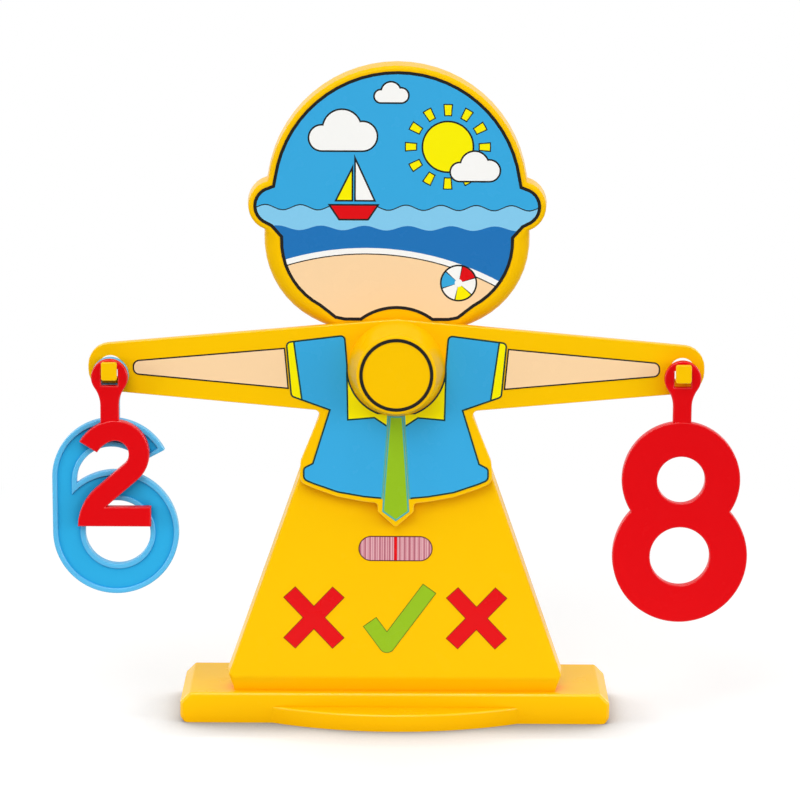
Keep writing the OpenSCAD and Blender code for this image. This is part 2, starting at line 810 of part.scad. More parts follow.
module screw_sink(p) {
    turned(stand_back, p) polygon([[0, 0], [screw_head_r, 0], [screw_r, screw_head_h], [0, screw_head_h]]);
}

module stand_back_cover() {
    lip_in = stand_wall + 2 * fit_gap;
    color(YELLOW)
    difference() {
        union() {
            plate(stand_back, cover_t) polygon(stand_outline);
            plate(shell_back + past, cover_lip_h + past)
                difference() {
                    polygon(inset(stand_outline, lip_in));
                    polygon(inset(stand_outline, lip_in + cover_t / 2));
                }
        }
        for (p = screw_places) {
            screw_sink(p);
            bar(stand_back + past, cover_t + 2 * past, screw_r, p);
            bar(shell_back, cover_lip_h + past, screw_boss_r + fit_gap, p);
        }
    }
}

module cover_screws() {
    color(STEEL)
    for (p = screw_places) {
        screw_sink(p);
        bar(stand_back - past, cover_t + screw_in - past, screw_r, p);
    }
}

module base_screws() {
    low = spigot_low - socket_wall;
    color(STEEL)
    for (s = [-1, 1])
        translate([s * spigot_x, spigot_y, low]) {
            cylinder(h = socket_wall + screw_in, r = screw_r);
            translate([0, 0, -screw_head_h]) cylinder(h = screw_head_h, r = screw_head_r);
        }
}

// Pivot

module axle_pin() {
    color(STEEL)
    difference() {
        union() {
            bar(shell_back, axle_head_t, axle_head_r);
            bar(shell_back, shell_back - axle_front, axle_r);
        }
        bar(axle_front + screw_l, screw_l + past, screw_r);
    }
}

module thrust_washer() {
    color(STEEL)
    difference() {
        bar(stand_front, washer_t, washer_r);
        bar(stand_front + past, washer_t + 2 * past, axle_r);
    }
}

module retaining_washer() {
    color(STEEL)
    difference() {
        bar(axle_front, washer_t, washer_r);
        bar(axle_front + past, washer_t + 2 * past, screw_r);
    }
}

module axle_screw() {
    head_back = axle_front - washer_t;
    color(STEEL)
    union() {
        bar(axle_front + screw_in, screw_in + washer_t + past, screw_r);
        bar(head_back, screw_head_h, screw_head_r);
    }
}

module hub_bush() {
    color(STEEL)
    difference() {
        union() {
            bar(bush_back, bush_back - beam_back, washer_r);
            bar(bush_back, bush_back - bush_front, bush_r);
        }
        bar(bush_back + past, bush_back - bush_front + 2 * past, axle_r + run_gap);
    }
}

// Beam

module hub_boss() {
    inner_front = boss_front_r - boss_wall;
    inner_base = boss_base_r - boss_wall;
    turned(beam_front + past)
        polygon([
            [inner_base, 0], [boss_base_r, 0], [boss_base_r, past],
            [boss_front_r, boss_h + past], [inner_front, boss_h + past], [inner_base, past]
        ]);
}

// The hollow between the ribs at the beam's back
module beam_pocket() {
    difference() {
        at_pivot() polygon(rounded(inset_corners(beam_corners, beam_rib_t)));
        at_pivot() circle(r = boss_base_r);
        for (s = [-1, 1]) translate([s * arm_reach, pivot_h]) circle(r = arm_hole_r + beam_rib_t);
        for (s = [-1, 1], k = [0:2])
            translate([s * (arm_rib_x + k * arm_rib_step) - beam_rib_t / 2, pivot_h - armpit_drop])
                square([beam_rib_t, armpit_drop + beam_crest]);
        for (s = [-1, 1])
            translate([s * arm_reach / 2, pivot_h])
                square([arm_reach - arm_hole_r, beam_rib_t], center = true);
        translate([0, pivot_h - stop_drop]) circle(r = stop_r + beam_rib_t);
        translate([-beam_rib_t / 2, pivot_h - tip_drop]) square([beam_rib_t, tip_drop]);
        translate([-hem_x, pivot_h - hem_rib_drop]) square([2 * hem_x, beam_rib_t]);
    }
}

module hook(s) {
    at = [s * arm_reach, hook_z];
    root_drop = arm_hole_r + 2 * beam_rib_t - hook_drop;
    tab_x = tab_w / 2;
    bar(beam_back, beam_t + hook_l + past, hook_r, at);
    plate(beam_back, beam_t)
        translate([at.x - hook_r, hook_z - root_drop]) square([2 * hook_r, root_drop]);
    plate(tab_back, tab_t)
        translate([at.x, hook_z - hook_r])
            polygon(rounded([
                [-tab_x, 0, tab_r], [tab_x, 0, tab_r], [tab_x, tab_h, tab_r], [-tab_x, tab_h, tab_r]
            ]));
}

module beam_plate() {
    color(YELLOW)
    difference() {
        union() {
            difference() {
                union() {
                    plate(beam_back, beam_t) at_pivot() polygon(rounded(beam_corners));
                    bar(beam_back, beam_t, boss_base_r);
                }
                plate(beam_back + past, beam_t - beam_skin + past) beam_pocket();
                for (s = [-1, 1])
                    bar(beam_back + past, beam_t + 2 * past, arm_hole_r, [s * arm_reach, pivot_h]);
            }
            for (s = [-1, 1]) hook(s);
            hub_boss();
            bar(beam_front + past, hub_tube_l + past, hub_tube_r);
            bar(
                stand_front + stand_wall,
                stand_wall + beam_gap + beam_t - past,
                stop_r,
                [0, pivot_h - stop_drop]
            );
        }
        bar(beam_back + past, beam_t + hub_tube_l + 2 * past, bush_r);
    }
}

module hub_cap() {
    plug_r = boss_front_r - boss_wall - fit_gap / 2;
    plug_back = -cap_plug_h;
    color(YELLOW)
    turned(boss_front)
        union() {
            polygon(concat(
                [[0, 0], [boss_front_r, 0]],
                arc([boss_front_r - cap_edge_r, cap_t - cap_edge_r], cap_edge_r, 0, 90, 6),
                [[0, cap_t]]
            ));
            translate([plug_r - cap_plug_wall, plug_back]) square([cap_plug_wall, cap_plug_h + past]);
        }
}

// Prints

module hub_ring_label() {
    color(BLACK)
    plate(boss_front - cap_t, label_t)
        at_pivot()
            difference() {
                circle(r = cap_ring_r);
                circle(r = cap_ring_r - cap_ring_w);
            }
}

// The head's print follows the outline from the first point of one cheek to that of the other
first_cheek = 3;
last_cheek = first_cheek + cheek_steps;
function head_print_point(i) =
    let (
        even = side_draft + stand_edges[i] + head_print_rim,
        rim = min(i, stand_n - 1 - i) > last_cheek ? even : max(even, cheek_print_rim)
    )
    stand_outline[i] + rim * stand_miters[i];

module head_label() {
    color(PEACH)
    plate(stand_front, label_t)
        difference() {
            polygon([for (i = [first_cheek:stand_n - 1 - first_cheek]) head_print_point(i)]);
            at_pivot() circle(r = boss_base_r + hub_print_rim);
        }
}

// Right half of the body's print: x and z from the pivot, and the corner's radius
beam_inset = inset_corners(beam_corners, print_rim);
lobe = beam_inset[4];
waist = [hem_x - hem_in - waist_in, -hem_drop + hem_h - print_rim / 2];
body_half = [
    [0, beam_inset[2].y, 0],
    beam_inset[3],
    lobe,
    [lobe.x, waist.y - lobe_fall, sleeve_r],
    [waist.x, waist.y, 0],
    [armpit_x - armpit_in, -armpit_drop + fit_gap, 0],
    [sleeve_low_x, -sleeve_low_drop, sleeve_r],
    [sleeve_top_x, sleeve_top_rise, sleeve_r],
    [neck_x, neck_rise, sleeve_r],
    concat(polar([0, 0], boss_base_r, -neck_turn), 0),
    [0, 0, 0]
];

module body_label() {
    color(LIGHT_BLUE)
    plate(beam_front, label_t)
        at_pivot()
            difference() {
                polygon(rounded(mirrored(body_half)));
                circle(r = boss_base_r + fit_gap);
                pointer_shape(fit_gap);
            }
}

// The pointer's print, larger by d all round
module pointer_shape(d) {
    top_x = pointer_print_x + d;
    low_x = pointer_x - pointer_print_in + d;
    tip = tip_drop - pointer_print_rim + d;
    polygon([
        [0, -tip],
        [low_x, -pointer_drop],
        [top_x, -boss_base_r],
        [-top_x, -boss_base_r],
        [-low_x, -pointer_drop]
    ]);
}

module pointer_label() {
    color(GREEN)
    plate(beam_front, label_t)
        at_pivot()
            difference() {
                pointer_shape(0);
                circle(r = boss_base_r + fit_gap);
            }
}

// The height of the beam's upper or lower edge at x, from the pivot, for the edge's two corners
function edge_at(x, a, b) = a.y + (b.y - a.y) * (x - a.x) / (b.x - a.x);

// Sideways place of the sleeve's end at the height z
function sleeve_x(z) =
    let (share = (z + sleeve_low_drop) / (sleeve_top_rise + sleeve_low_drop))
    sleeve_low_x + (sleeve_top_x - sleeve_low_x) * share;

module arm_label(s) {
    to_x = arm_reach - arm_hole_r - arm_print_gap;
    upper = [beam_half[9], beam_half[8]];
    lower = [beam_half[6], beam_half[7]];
    top_z = edge_at(sleeve_top_x, upper[0], upper[1]) - arm_print_rim;
    low_z = edge_at(sleeve_low_x, lower[0], lower[1]) + arm_print_rim;
    color(PEACH)
    plate(beam_front, label_t)
        at_pivot()
            on_side(s)
                polygon(rounded([
                    [sleeve_x(low_z) + arm_print_start, low_z, 0],
                    [to_x, edge_at(to_x, lower[0], lower[1]) + arm_print_rim, arm_print_r],
                    [to_x, edge_at(to_x, upper[0], upper[1]) - arm_print_rim, arm_print_r],
                    [sleeve_x(top_z) + arm_print_start, top_z, 0]
                ]));
}

module left_arm_label() {
    arm_label(-1);
}

module right_arm_label() {
    arm_label(1);
}

module balance_strip() {
    middle_w = strip_w - strip_h;
    color(PINK)
    plate(stand_front, label_t)
        translate([0, strip_z]) {
            square([middle_w, strip_h], center = true);
            for (s = [-1, 1]) translate([s * middle_w / 2, 0]) circle(d = strip_h);
        }
}

// A stroke from the origin, l long at this slope, with a round start
module stroke(l, slope) {
    circle(d = sign_stroke);
    rotate(slope) translate([0, -sign_stroke / 2]) square([l, sign_stroke]);
}

module tick_label() {
    color(GREEN)
    plate(stand_front, label_t)
        translate([tick_x, sign_z - tick_drop]) {
            stroke(tick_long_l, tick_slope);
            stroke(tick_short_l, 180 - tick_slope);
        }
}

module cross_labels() {
    color(RED)
    plate(stand_front, label_t)
        for (s = [-1, 1], a = [-cross_slope, cross_slope])
            translate([s * cross_x, sign_z])
                rotate(a) square([2 * cross_reach, sign_stroke], center = true);
}

// Numbers

// The ring that hangs on a hook, blended into its stem, drawn about the ring's centre
module ring_shape() {
    blend_x = stem_w / 2 + stem_blend_r;
    blend_z = -sqrt(pow(ring_r + stem_blend_r, 2) - blend_x * blend_x);
    difference() {
        union() {
            circle(r = ring_r);
            translate([-stem_w / 2, -stem_l - number_rim]) square([stem_w, stem_l + number_rim]);
            difference() {
                polygon([[0, 0], [-blend_x, blend_z], [blend_x, blend_z]]);
                for (s = [-1, 1]) translate([s * blend_x, blend_z]) circle(r = stem_blend_r);
            }
        }
        square(ring_hole, center = true);
    }
}

// A number: its ring at the hook on side s, its figure below, and a hollow in its back or face
module number(s, y, hollow, in_face) {
    hollow_y = in_face ? y - number_t + hollow : y + past;
    at = [s * arm_reach, ring_z];
    difference() {
        union() {
            plate(y - (number_t - ring_t) / 2, ring_t) translate(at) ring_shape();
            plate(y, number_t) translate(at) translate([0, -stem_l]) children(0);
        }
        plate(hollow_y, hollow + past) translate(at) translate([0, -stem_l]) children(1);
    }
}

// The turn along an arc of radius r, in degrees, for a length of l
function turn_for(l, r) = l / r * 180 / PI;

// The two drawn below its top, drawn in by d: bends that open at the start, and a foot
module two_shape(d) {
    top_c = [two_top_x, -two_top_r - two_stroke / 2];
    low_c = [two_low_x, -two_h];
    across = low_c - top_c;
    low_r = norm(across) * cos(two_lean) - two_top_r;
    top_end = angle_of(across) + two_lean;
    low_start = angle_of(-across) + two_lean;
    left = low_c.x - low_r - two_stroke / 2;
    start_c = polar(top_c, two_top_r - two_start_r, two_ease);
    top_arc = arc(top_c, two_top_r, two_ease, top_end, 18);
    polygon(band(
        concat(
            arc(start_c, two_start_r, two_start - turn_for(d, two_start_r), two_ease, 6),
            [for (i = [1:len(top_arc) - 1]) top_arc[i]],
            arc(low_c, low_r, low_start, 180 - turn_for(d, low_r), 6)
        ),
        two_stroke - 2 * d
    ));
    translate([left + two_stroke / 2, -two_h + d])
        square([two_foot_l - two_stroke / 2 - d, two_foot_h - 2 * d]);
}

module number_two() {
    color(RED)
    number(-1, two_back, two_hollow, false) {
        two_shape(0);
        two_shape(number_rim);
    }
}

// The six drawn below its top, drawn in by d: a bowl with a hole and a bow over it
module six_shape(d) {
    bow_c = [six_bow_x, -six_bow_r];
    bowl_c = [six_bowl_x, bow_c.y - six_bow_rise];
    inner_c = bow_c - [0, six_inner_drop];
    inner_left = inner_c.x - six_inner_r - d;
    start = six_start + turn_for(d, six_bow_r);
    sweep = 2 * six_bow_r;
    difference() {
        union() {
            translate(bowl_c) circle(r = six_bowl_r - d);
            difference() {
                translate(bow_c) circle(r = six_bow_r - d);
                translate(inner_c) circle(r = six_inner_r + d);
                translate(bow_c) polygon([[0, 0], polar([0, 0], sweep, start), [sweep, -sweep], [0, -sweep]]);
                translate(bowl_c) circle(r = six_bowl_r + d);
            }
            polygon([
                [bow_c.x - six_bow_r + d, bow_c.y],
                [bowl_c.x - six_bowl_r + d, bowl_c.y],
                [inner_left, bowl_c.y],
                [inner_left, bow_c.y]
            ]);
        }
        translate(bowl_c + [six_hole_x, 0]) circle(r = six_hole_r + d);
    }
}

module number_six() {
    color(LIGHT_BLUE)
    number(-1, six_back, six_hollow, true) {
        six_shape(0);
        six_shape(number_rim);
    }
}

// The eight drawn below its top, drawn in by d: two loops
module eight_shape(d) {
    top_c = [0, -eight_top_r];
    low_c = [0, -eight_top_r - eight_step];
    difference() {
        union() {
            translate(top_c) circle(r = eight_top_r - d);
            translate(low_c) circle(r = eight_low_r - d);
        }
        translate(top_c) circle(r = eight_top_hole_r + d);
        translate(low_c) circle(r = eight_low_hole_r + d);
    }
}

module number_eight() {
    color(RED)
    number(1, eight_back, eight_hollow, false) {
        eight_shape(0);
        eight_shape(number_rim);
    }
}

base_shell();
stand_front_shell();
stand_back_cover();
cover_screws();
base_screws();
axle_pin();
thrust_washer();
retaining_washer();
axle_screw();
head_label();
balance_strip();
tick_label();
cross_labels();
beam_plate();
hub_bush();
hub_cap();
hub_ring_label();
body_label();
pointer_label();
left_arm_label();
right_arm_label();
number_two();
number_six();
number_eight();
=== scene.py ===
import math

import bmesh
import bpy
import numpy as np
from mathutils import Matrix, Vector
from mathutils.geometry import delaunay_2d_cdt


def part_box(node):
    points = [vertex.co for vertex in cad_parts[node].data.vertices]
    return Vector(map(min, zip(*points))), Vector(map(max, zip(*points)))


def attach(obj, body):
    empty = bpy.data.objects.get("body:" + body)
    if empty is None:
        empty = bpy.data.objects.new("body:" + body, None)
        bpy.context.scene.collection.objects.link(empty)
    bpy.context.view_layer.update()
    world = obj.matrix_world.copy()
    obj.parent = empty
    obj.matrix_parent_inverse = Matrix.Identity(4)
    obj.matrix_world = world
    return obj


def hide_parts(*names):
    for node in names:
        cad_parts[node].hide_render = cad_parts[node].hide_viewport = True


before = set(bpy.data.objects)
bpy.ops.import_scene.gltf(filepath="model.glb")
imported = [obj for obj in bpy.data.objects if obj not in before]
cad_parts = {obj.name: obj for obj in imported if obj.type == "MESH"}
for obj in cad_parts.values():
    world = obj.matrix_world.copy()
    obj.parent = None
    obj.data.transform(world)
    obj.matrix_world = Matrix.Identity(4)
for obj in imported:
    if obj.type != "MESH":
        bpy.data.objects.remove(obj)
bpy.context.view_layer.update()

# Looks of the balance scale toy: moulded plastic, printed films, light and camera.
# The frame is in metres. Flat prints are drawn in millimetres from the beam's pivot, as x and z.
MM = 0.001

# Colours, as sRGB
YELLOW = "#fdc604"
# A deeper orange yellow, painted as shade into the yellow mouldings' corners
YELLOW_CORNER_PAINTED_SHADE = "#faaa00"
RED = "#e20c13"
SIX_BLUE = "#5cbcec"
# A deeper blue painted as shade over the six's recess, and a deeper one still painted near its walls
SIX_RECESS_PAINTED_SHADE = "#30aee4"
RECESS_WALL_PAINTED_SHADE = "#0080c4"
NYLON = "#e6e4dc"
STEEL = "#b4b8bc"
# Dark steel, painted as shade into the crosses of the screws' heads
STEEL_CROSS_PAINTED_SHADE = "#5a5e62"
INKS = {
    "black": "#1d1d1b",
    "white": "#fbfbf8",
    "sky": "#39abe2",
    "pale_sky": "#86cdf0",
    "deep_blue": "#2174ba",
    "peach": "#fed8a8",
    "bright_yellow": "#fff200",
    "green": "#95c11f",
    "teal": "#50afaa",
    "dark_green": "#3c6a1c",
    "red": "#e20c13",
    "dark_red": "#7a0b0e",
    "pink": "#cb8491",
    "pale_pink": "#ecc3c8",
    "rose": "#a95568",
    "brown": "#5e2a26",
    "dark_teal": "#123a33",
}


def rgb(code, gain=1.0):
    """A linear colour from an sRGB code, with its brightness multiplied by gain."""
    shares = [int(code[i:i + 2], 16) / 255 for i in (1, 3, 5)]
    linear = [s / 12.92 if s <= 0.04045 else ((s + 0.055) / 1.055) ** 2.4 for s in shares]
    return [min(1.0, c * gain) for c in linear] + [1.0]


# Materials

# Roughness and shine of the polished edges of the mouldings
EDGE_ROUGHNESS = 0.16
EDGE_SHINE = 0.4
# Shine of the printed films
INK_SHINE = 0.12
# How far round a place its neighbours count: for the shade painted into corners, and for the shadow
# painted on the floor
CORNER_REACH = 22 * MM
RECESS_REACH = 5 * MM
FLOOR_REACH = 36 * MM
REACH_SAMPLES = 8


def new_material(name):
    material = bpy.data.materials.new(name)
    material.use_nodes = True
    tree = material.node_tree
    return material, tree, tree.nodes["Principled BSDF"]


def node(tree, kind, inputs=None, **settings):
    made = tree.nodes.new(kind)
    for key, value in settings.items():
        setattr(made, key, value)
    for key, value in (inputs or {}).items():
        made.inputs[key].default_value = value
    return made


def noise(tree, place, scale, detail):
    made = node(tree, "ShaderNodeTexNoise", {"Scale": scale, "Detail": detail})
    tree.links.new(place, made.inputs["Vector"])
    return made.outputs["Fac"]


def spread(tree, source, low, high, start=0.3, end=0.7):
    """A value that runs from low to high while the source, such as a noise, runs from start to end."""
    inputs = {"From Min": start, "From Max": end, "To Min": low, "To Max": high}
    made = node(tree, "ShaderNodeMapRange", inputs)
    tree.links.new(source, made.inputs["Value"])
    return made.outputs["Result"]


def product(tree, one, other):
    made = node(tree, "ShaderNodeMath", operation="MULTIPLY")
    tree.links.new(one, made.inputs[0])
    tree.links.new(other, made.inputs[1])
    return made.outputs[0]


def mottled(tree, source, code, change):
    """The colour, a little darker and lighter from place to place."""
    made = node(tree, "ShaderNodeMix", data_type="RGBA")
    made.inputs["A"].default_value = rgb(code, 1 - change)
    made.inputs["B"].default_value = rgb(code, 1 + change)
    tree.links.new(source, made.inputs["Factor"])
    return made.outputs["Result"]


def bumped(tree, source, strength, distance):
    made = node(tree, "ShaderNodeBump", {"Strength": strength, "Distance": distance})
    tree.links.new(source, made.inputs["Height"])
    return made.outputs["Normal"]


def painted_corner_shade(tree, colour, code, reach):
    """The colour with shade painted in: it turns to a deeper one in corners, where less light reaches.
    """
    around = node(tree, "ShaderNodeAmbientOcclusion", {"Distance": reach}, samples=REACH_SAMPLES)
    made = node(tree, "ShaderNodeMix", data_type="RGBA")
    made.inputs["A"].default_value = rgb(code)
    tree.links.new(colour, made.inputs["B"])
    tree.links.new(around.outputs["AO"], made.inputs["Factor"])
    return made.outputs["Result"]


def plastic(name, code, roughness=0.22, shine=0.05, corner_shade=None, reach=CORNER_REACH):
    """Moulded plastic: faint flow marks in the colour, uneven gloss and a fine skin, and painted shade
    in corners where a shade colour is given.
    """
    material, tree, shader = new_material(name)
    place = node(tree, "ShaderNodeTexCoord").outputs["Object"]
    flow = noise(tree, place, scale=14, detail=3)
    colour = mottled(tree, flow, code, change=0.02)
    if corner_shade:
        colour = painted_corner_shade(tree, colour, corner_shade, reach)
    tree.links.new(colour, shader.inputs["Base Color"])
    handled = noise(tree, place, scale=55, detail=4)
    uneven = spread(tree, handled, low=roughness - 0.04, high=roughness + 0.07)
    tree.links.new(uneven, shader.inputs["Roughness"])
    skin = noise(tree, place, scale=900, detail=2)
    tree.links.new(bumped(tree, skin, strength=0.03, distance=0.1 * MM), shader.inputs["Normal"])
    shader.inputs["Specular IOR Level"].default_value = shine
    return material


def ink(name, code):
    """A printed film: fine print grain in the colour under a smooth gloss."""
    material, tree, shader = new_material(name)
    place = node(tree, "ShaderNodeTexCoord").outputs["Object"]
    grain = noise(tree, place, scale=2600, detail=1)
    tree.links.new(mottled(tree, grain, code, change=0.03), shader.inputs["Base Color"])
    handled = noise(tree, place, scale=70, detail=3)
    tree.links.new(spread(tree, handled, low=0.2, high=0.3), shader.inputs["Roughness"])
    ripple = noise(tree, place, scale=120, detail=1)
    tree.links.new(bumped(tree, ripple, strength=0.04, distance=0.1 * MM), shader.inputs["Normal"])
    shader.inputs["Specular IOR Level"].default_value = INK_SHINE
    return material


def steel(name, code):
    """Zinc-plated steel with fine turning marks."""
    material, tree, shader = new_material(name)
    place = node(tree, "ShaderNodeTexCoord").outputs["Object"]
    marks = noise(tree, place, scale=1200, detail=3)
    tree.links.new(mottled(tree, marks, code, change=0.06), shader.inputs["Base Color"])
    tree.links.new(spread(tree, marks, low=0.22, high=0.42), shader.inputs["Roughness"])
    tree.links.new(bumped(tree, marks, strength=0.1, distance=0.05 * MM), shader.inputs["Normal"])
    shader.inputs["Metallic"].default_value = 1.0
    return material


# The yellow mouldings and their edges take painted shade in their corners
YELLOW_PLASTIC = plastic("yellow_plastic_looks", YELLOW, corner_shade=YELLOW_CORNER_PAINTED_SHADE)
YELLOW_EDGE = plastic("yellow_edge_looks", YELLOW, EDGE_ROUGHNESS, EDGE_SHINE, corner_shade=YELLOW_CORNER_PAINTED_SHADE)
RED_PLASTIC = plastic("red_plastic_looks", RED)
RED_EDGE = plastic("red_edge_looks", RED, EDGE_ROUGHNESS, EDGE_SHINE)
BLUE_PLASTIC = plastic("blue_plastic_looks", SIX_BLUE)
BLUE_EDGE = plastic("blue_edge_looks", SIX_BLUE, EDGE_ROUGHNESS, EDGE_SHINE)
# The six's recess is painted a deeper blue as shade, darker still near its walls
RECESS_PAINTED_SHADE_PLASTIC = plastic("recess_painted_shade_looks", SIX_RECESS_PAINTED_SHADE, corner_shade=RECESS_WALL_PAINTED_SHADE, reach=RECESS_REACH)
NYLON_PLASTIC = plastic("nylon_looks", NYLON, roughness=0.45, shine=0.3)
STEEL_METAL = steel("steel_looks", STEEL)
# The screws' crosses are painted dark steel as shade
STEEL_CROSS_SHADE_METAL = steel("steel_cross_painted_shade_looks", STEEL_CROSS_PAINTED_SHADE)
INK_LOOKS = {name: ink("ink_" + name, code) for name, code in INKS.items()}

# Moulded pieces

# Edges that turn by more than this look crisp
MOULDED_ANGLE = math.radians(38)
# Faces that turn by less than this are one flat face
FLAT_ANGLE = math.radians(0.3)
FRONT = Vector((0, -1, 0))
BACK = Vector((0, 1, 0))
UP = Vector((0, 0, 1))
# Cosine of the least angle between faces that face different ways
FACING = 0.9999
# Corners lower than this rest on the table and stay there
TABLE = 1 * MM
# Flat faces this close to a level lie on it, and corners this close are one corner
SAME_LEVEL = 0.02 * MM
SAME_CORNER = 0.002 * MM
# Strips across a rounded edge
ROUND_STEPS = 3
# Places in a moulding's list of looks, and in a screw's. The six's recess and the screws' crosses take
# looks with painted shade
EDGE = 1
RECESS = 2
CROSS = 1
# Least depth of the recess behind the six's front
RECESS_MIN = 1 * MM


def clean_mesh(source):
    """The node's mesh with shared corners and whole flat faces."""
    bm = bmesh.new()
    bm.from_mesh(source)
    bmesh.ops.remove_doubles(bm, verts=bm.verts, dist=SAME_CORNER)
    bmesh.ops.dissolve_limit(bm, angle_limit=FLAT_ANGLE, verts=bm.verts, edges=bm.edges)
    bm.normal_update()
    return bm


def flat_regions(bm, facing):
    """Groups of joined faces that lie flat and face one way."""
    left = dict.fromkeys(f for f in bm.faces if f.normal.dot(facing) > FACING)
    regions = []
    while left:
        region = [left.popitem()[0]]
        for face in region:
            around = [other for edge in face.edges for other in edge.link_faces]
            for other in around:
                if other in left:
                    del left[other]
                    region.append(other)
        regions.append(region)
    return regions


def rim_of(region):
    """The edges between a region and the faces round it."""
    faces = set(region)
    return [e for f in region for e in f.edges if len(faces.intersection(e.link_faces)) == 1]


def refilled(bm, region, facing):
    """Fills the region again with well-shaped triangles."""
    rim = rim_of(region)
    bmesh.ops.delete(bm, geom=region, context="FACES")
    made = bmesh.ops.triangle_fill(bm, use_beauty=True, edges=rim, normal=facing)["geom"]
    faces = [f for f in made if isinstance(f, bmesh.types.BMFace)]
    bm.normal_update()
    if max(faces, key=lambda f: f.calc_area()).normal.dot(facing) < 0:
        bmesh.ops.reverse_faces(bm, faces=faces)


def outer_loop(rim):
    """The corners of the widest loop of a rim's edges."""
    edges = set(rim)
    left = {v for e in rim for v in e.verts}
    loops = []
    while left:
        loop = [left.pop()]
        for v in loop:
            joined = {e.other_vert(v) for e in v.link_edges if e in edges} & left
            left -= joined
            loop += joined
        loops.append(loop)
    return set(max(loops, key=lambda loop: max((v.co - loop[0].co).length for v in loop)))


def inward(ring, inner):
    """The corners among the inner ones that a ring of corners is joined to."""
    return {e.other_vert(v) for v in ring for e in v.link_edges} & inner


def softened(bm, region, r, holes=True):
    """Rounds a flat region's rim by r millimetres, where it turns away and stands off the table.

    Without holes, only the outer loop of the rim is rounded.
    """
    facing = region[0].normal.copy()
    rim = rim_of(region)
    crisp = set() if holes else {v for e in rim for v in e.verts} - outer_loop(rim)
    soft = {v for e in rim if e.is_convex for v in e.verts if v.co.z > TABLE} - crisp
    turns = [i * math.pi / 2 / ROUND_STEPS for i in range(ROUND_STEPS + 1)]
    rings = []
    for start, end in zip(turns, turns[1:]):
        width = r * MM * (math.cos(start) - math.cos(end))
        crisp_places = {tuple(v.co) for v in crisp}
        soft_places = {tuple(v.co) for v in soft}
        made = bmesh.ops.inset_region(
            bm, faces=region, thickness=width, use_boundary=True, use_even_offset=True,
        )["faces"]
        inner = {v for f in region for v in f.verts}
        outer = {v for f in made for v in f.verts} - inner
        unmoved = {v for v in outer if tuple(v.co) in crisp_places}
        for v in unmoved:
            for partner in inward({v}, inner):
                partner.co = v.co
        crisp = inward(unmoved, inner)
        ring = {v for v in outer if tuple(v.co) in soft_places}
        soft = inward(ring, inner)
        rings.append((ring, r * MM * (1 - math.sin(start))))
        for face in made:
            if all(v in soft or v in ring for v in face.verts):
                face.material_index = EDGE
    for ring, back in rings:
        for v in ring:
            v.co -= back * facing
    refilled(bm, region, facing)
    if crisp:
        bmesh.ops.remove_doubles(bm, verts=bm.verts, dist=SAME_CORNER)


def placed(name, mesh, source, body):
    """The mesh as a piece that stands for a node and moves with its body."""
    piece = bpy.data.objects.new(name, mesh)
    bpy.context.scene.collection.objects.link(piece)
    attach(piece, body)
    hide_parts(source)
    return piece


def moulded(name, source, body, bm, looks):
    """The rounded mesh as a piece in the node's place, with its looks."""
    mesh = bpy.data.meshes.new(name)
    bm.to_mesh(mesh)
    bm.free()
    if "custom_normal" in mesh.attributes:
        mesh.attributes.remove(mesh.attributes["custom_normal"])
    mesh.shade_smooth()
    mesh.set_sharp_from_angle(angle=MOULDED_ANGLE)
    for material in looks:
        mesh.materials.append(material)
    piece = placed(name, mesh, source, body)
    normals = piece.modifiers.new("even_normals", "WEIGHTED_NORMAL")
    normals.keep_sharp = True


def level_of(source, facing):
    """How far the node reaches the way it faces, in millimetres."""
    return max(v.co.dot(facing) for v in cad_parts[source].data.vertices) / MM


def on_level(region, facing, level):
    return abs(region[0].verts[0].co.dot(facing) - level * MM) < SAME_LEVEL


def moulding(name, source, body, looks, rounds, holes=True):
    """A piece whose flat faces at some levels, in millimetres the way they face, have rounded rims."""
    bm = clean_mesh(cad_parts[source].data)
    for facing, level, r in rounds:
        for region in flat_regions(bm, facing):
            if on_level(region, facing, level):
                softened(bm, region, r, holes)
    moulded(name, source, body, bm, looks)


def six_moulding():
    """The six, with a deeper blue painted into the recess of its front as shade."""
    source = "number_six"
    bm = clean_mesh(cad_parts[source].data)
    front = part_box(source)[0].y
    for region in flat_regions(bm, FRONT):
        depth = region[0].verts[0].co.y - front
        if depth > RECESS_MIN:
            for face in region:
                face.material_index = RECESS
        else:
            softened(bm, region, NUMBER_ROUND)
    looks = [BLUE_PLASTIC, BLUE_EDGE, RECESS_PAINTED_SHADE_PLASTIC]
    moulded("six_moulding", source, "six", bm, looks)


# The cross in a screw's head: how far its arms reach, their width and its depth
CROSS_REACH = 1.9 * MM
CROSS_W = 0.8 * MM
CROSS_DEPTH = 0.8 * MM
# Turn from one screw's cross to the next, as they were driven home
CROSS_TURN = math.radians(37)


def recessed(bm, region, facing, turn):
    """Cuts a cross into the middle of a screw's flat head."""
    rim = rim_of(region)
    corners = [v.co for e in rim for v in e.verts]
    middle = sum(corners, Vector()) / len(corners)
    across = Matrix.Rotation(turn, 3, facing) @ facing.orthogonal().normalized()
    along = facing.cross(across)
    a, b = CROSS_REACH, CROSS_W / 2
    plan = [(b, b), (b, a), (-b, a), (-b, b), (-a, b), (-a, -b)]
    plan += [(-x, -y) for x, y in plan]
    top = [bm.verts.new(middle + x * across + y * along) for x, y in plan]
    low = [bm.verts.new(v.co - CROSS_DEPTH * facing) for v in top]
    cut = [bm.faces.new(low)]
    cut += [bm.faces.new((top[i - 1], top[i], low[i], low[i - 1])) for i in range(len(top))]
    for face in cut:
        face.material_index = CROSS
    lip = [bm.edges.get((top[i - 1], top[i])) for i in range(len(top))]
    bmesh.ops.delete(bm, geom=region, context="FACES")
    bmesh.ops.triangle_fill(bm, use_beauty=True, edges=[*rim, *lip], normal=facing)


